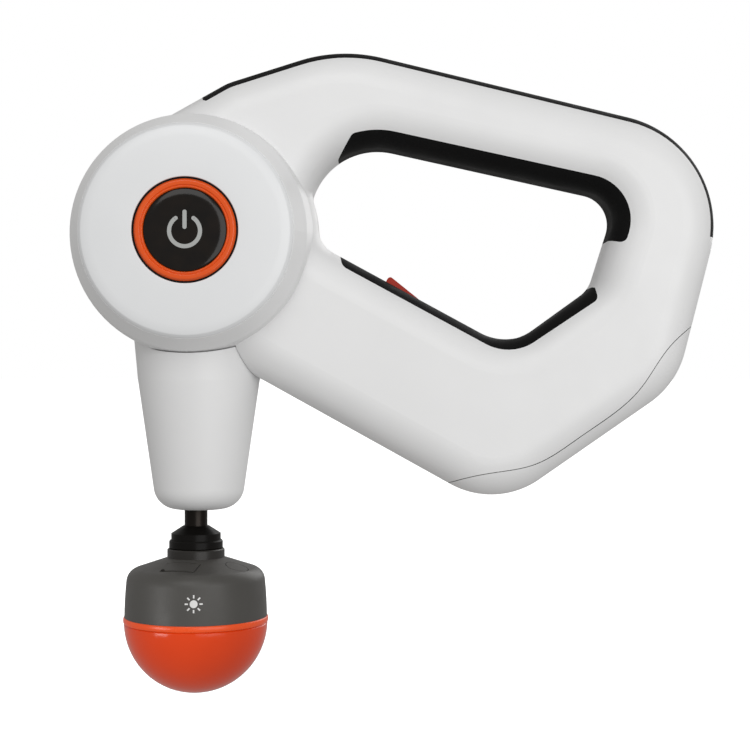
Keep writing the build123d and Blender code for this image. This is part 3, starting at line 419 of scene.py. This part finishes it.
def build_near_cap(materials):
    """Domed cap: a hardly curved face that rolls over into the bevel of the head."""
    low, high, middle = middle_of("near_side_cap")
    ring_low, ring_high, _ = middle_of("light_ring")
    bore_r = (ring_high.x - ring_low.x) / 2 + CAP_GAP
    face_y, outer_r = low.y, high.x - middle.x
    corners = [(bore_r, face_y + 1.6 * MM, 0), (bore_r, face_y + 0.05 * MM, 0.35 * MM)]
    corners += crowned_corners(bore_r, CAP_CROWN_R, face_y, CAP_CROWN_RISE, 8)
    corners += [(38.1 * MM, face_y + 1.25 * MM, 1.0 * MM), (38.9 * MM, face_y + 2.15 * MM, 1.0 * MM),
                (outer_r, face_y + CAP_DEPTH, 0.15 * MM), (outer_r - CAP_LIP, face_y + CAP_DEPTH, 0)]
    profile = rounded_profile(corners) + [Vector((bore_r, high.y))]
    piece = turned("near_cap", profile, (middle.x, 0, middle.z), "y")
    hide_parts("near_side_cap")
    finish_piece(piece, "handle", materials["cap_white"])


def build_light_ring(materials):
    """Lens with a soft crest and a groove near its inner edge."""
    low, high, middle = middle_of("light_ring")
    outer_r, inner_r, crest = high.x - middle.x, LENS_INNER_R, low.y
    profile = rounded_profile([
        (inner_r, high.y, 0), (inner_r, crest + 1.0 * MM, 0.2 * MM),
        (inner_r + 0.35 * MM, crest + 0.3 * MM, 0.25 * MM), (inner_r + 0.75 * MM, crest + 0.3 * MM, 0.1 * MM),
        (inner_r + 0.95 * MM, crest + 0.55 * MM, 0.1 * MM), (inner_r + 1.3 * MM, crest + 0.05 * MM, 0.3 * MM),
        (outer_r - 0.7 * MM, crest, 0.6 * MM), (outer_r, crest + 1.1 * MM, 0.3 * MM), (outer_r, high.y, 0)])
    piece = turned("light_ring_lens", profile, (middle.x, 0, middle.z), "y")
    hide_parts("light_ring")
    finish_piece(piece, "handle", materials["orange_gloss"])


def build_head_button(materials):
    """Glossy button with a rolled edge and a raised switch symbol."""
    low, high, middle = middle_of("head_button")
    face_y, back_y = low.y, low.y + BUTTON_DEPTH
    outer_r, crown_r = high.x - middle.x, high.x - middle.x - BUTTON_EDGE
    corners = [(0.0, face_y, 0)] + crowned_corners(0.0, crown_r, face_y, BUTTON_RISE, 6)
    corners += [(outer_r, face_y + 0.6 * MM, 0.5 * MM), (outer_r, back_y, 0.3 * MM),
                (BUTTON_STEM_R, back_y, 0), (BUTTON_STEM_R, high.y, 0.3 * MM), (0.0, high.y, 0)]
    piece = turned("tilt_button_face", rounded_profile(corners), (middle.x, 0, middle.z), "y")
    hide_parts("head_button")
    finish_piece(piece, "tilt_button", materials["button_black"])

    def crowned(x, z):
        reach = sqrt((x - middle.x) ** 2 + (z - middle.z) ** 2) / crown_r
        return face_y + BUTTON_RISE * reach ** 2

    cx, cz = middle.x, middle.z - SYMBOL_DOWN
    bar_from, bar_to = (cz + end for end in SYMBOL_BAR)
    left, right = cx - SYMBOL_STROKE, cx + SYMBOL_STROKE
    shapes = arc_band(cx, cz, SYMBOL_R - SYMBOL_STROKE, SYMBOL_R + SYMBOL_STROKE, *SYMBOL_ARC, 48)
    shapes += [disc_outline(cx + SYMBOL_R * cos(radians(a)), cz + SYMBOL_R * sin(radians(a)), SYMBOL_STROKE)
               for a in SYMBOL_ARC]
    shapes.append([(left, bar_from), (right, bar_from), (right, bar_to), (left, bar_to)])
    shapes += [disc_outline(cx, z, SYMBOL_STROKE) for z in (bar_from, bar_to)]
    symbol = print_on("button_symbol", shapes, crowned, PRINT_THICK)
    finish_piece(symbol, "tilt_button", materials["mark_grey"])


# ---------------------------------------------------------------- pieces of the massage ball
BALL_GROOVE, BALL_WALL = 0.45 * MM, 1.6 * MM
RIM_WIDTH, RIM_CROWN = 3.0 * MM, 0.15 * MM
WARMTH_OFFSET = (2.2 * MM, 8.2 * MM)    # from the dome's axis and from its lower edge
WARMTH_DISC_R = 1.45 * MM
WARMTH_RAY = (2.1 * MM, 3.3 * MM)
WARMTH_RAYS, WARMTH_RAY_HALF = 8, 0.28 * MM


def build_ball(materials):
    """Smooth round ball below the rim, with a groove along its upper edge."""
    low, high, middle = middle_of("ball_cap")
    radius = high.x - middle.x
    centre_z = low.z + radius
    top, steps = high.z - centre_z, 96
    start, end = -(pi / 2), top / radius
    angles = [start + (end - start) * k / steps for k in range(steps + 1)]
    arc = [Vector((radius * cos(angle), radius * sin(angle))) for angle in angles]
    arc[0].x = 0.0
    lip = arc[-1].x
    arc[-1] = Vector((lip - 0.1 * MM, top - BALL_GROOVE))
    arc += [Vector((lip - BALL_GROOVE, top)), Vector((lip - BALL_WALL, top)),
            Vector((lip - BALL_WALL, top - BALL_WALL)), Vector((0.0, top - BALL_WALL))]
    piece = turned("ball_half", arc, (middle.x, middle.y, centre_z), "z")
    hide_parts("ball_cap")
    finish_piece(piece, "massage_ball", materials["ball_orange"])


def build_rim_band(materials):
    """Band between the ball and the dome, with rolled edges."""
    low, high, middle = middle_of("rim_ring")
    radius, half = high.x - middle.x, (high.z - low.z) / 2
    inner, edge = radius - RIM_WIDTH, radius - RIM_CROWN
    profile = rounded_profile([
        (inner, -half, 0), (edge, -half, 0.6 * MM), (radius, 0.0, 2.0 * MM),
        (edge, half, 0.6 * MM), (inner, half, 0)])
    band = turned("rim_band", profile, (middle.x, middle.y, middle.z), "z")
    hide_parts("rim_ring")
    finish_piece(band, "massage_ball", materials["rim_orange"])


def build_dome_print(materials):
    """Small warmth symbol, a disc with rays, on the front of the dome."""
    tree = front_surface("dome_housing")
    low, _, middle = middle_of("dome_housing")

    def on_dome(x, z):
        in_front = 50.0 * MM
        return tree.ray_cast(Vector((x, low.y - in_front, z)), Vector((0, 1, 0)))[0].y

    centre = Vector((middle.x + WARMTH_OFFSET[0], low.z + WARMTH_OFFSET[1]))
    shapes = [disc_outline(*centre, WARMTH_DISC_R)]
    for k in range(WARMTH_RAYS):
        turn = 2 * pi * k / WARMTH_RAYS
        along, beside = Vector((cos(turn), sin(turn))), Vector((-sin(turn), cos(turn))) * WARMTH_RAY_HALF
        start, end = (centre + along * reach for reach in WARMTH_RAY)
        shapes.append([tuple(p) for p in (start - beside, end - beside, end + beside, start + beside)])
    symbol = print_on("warmth_symbol", shapes, on_dome, PRINT_THICK)
    finish_piece(symbol, "massage_ball", materials["mark_white"])


# ---------------------------------------------------------------- build
add_camera()
materials = make_materials()
paint_nodes(materials)
build_near_cap(materials)
build_light_ring(materials)
build_head_button(materials)
build_ball(materials)
build_rim_band(materials)
build_dome_print(materials)
add_floor()
add_world(AMBIENT)
add_studio_lights()
add_ball_light()
bpy.context.scene.view_settings.view_transform = "Standard"
bpy.context.scene.cycles.use_denoising = True
